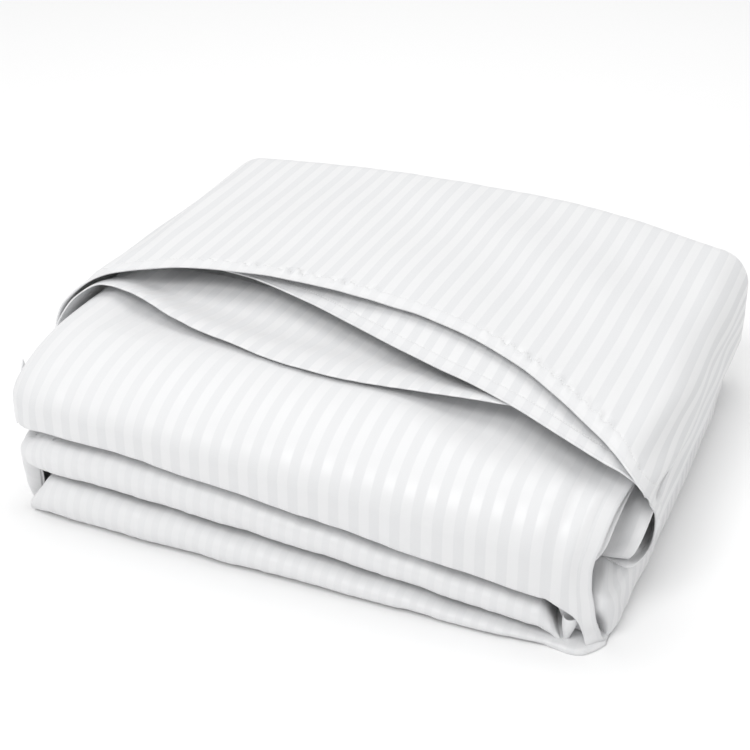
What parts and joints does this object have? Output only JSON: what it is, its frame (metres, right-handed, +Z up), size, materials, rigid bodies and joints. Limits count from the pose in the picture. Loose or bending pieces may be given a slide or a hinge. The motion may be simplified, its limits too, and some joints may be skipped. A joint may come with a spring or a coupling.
{
  "type": "folded duvet cover",
  "caption": "White striped sateen duvet cover folded into a back-and-forth stack, its hemmed mouth open across the top.",
  "frame": {"origin": "middle of the underside, seen from above the middle of the whole folded stack", "axes": "+X across the width towards the open side, +Y from the front folds to the back, +Z up"},
  "size_m": [0.641, 0.591, 0.192],
  "materials": {
    "cover_sateen": "white cotton sateen with 10 mm tone-on-tone satin stripes, soft sheen",
    "panel_sateen": "white cotton sateen with 10 mm tone-on-tone satin stripes and a stitched hem, soft sheen"
  },
  "bodies": {
    "root": {"folded_cover": "cover_sateen", "top_panel": "panel_sateen", "under_panel": "panel_sateen", "lower_lip": "panel_sateen"}
  },
  "joints": []
}
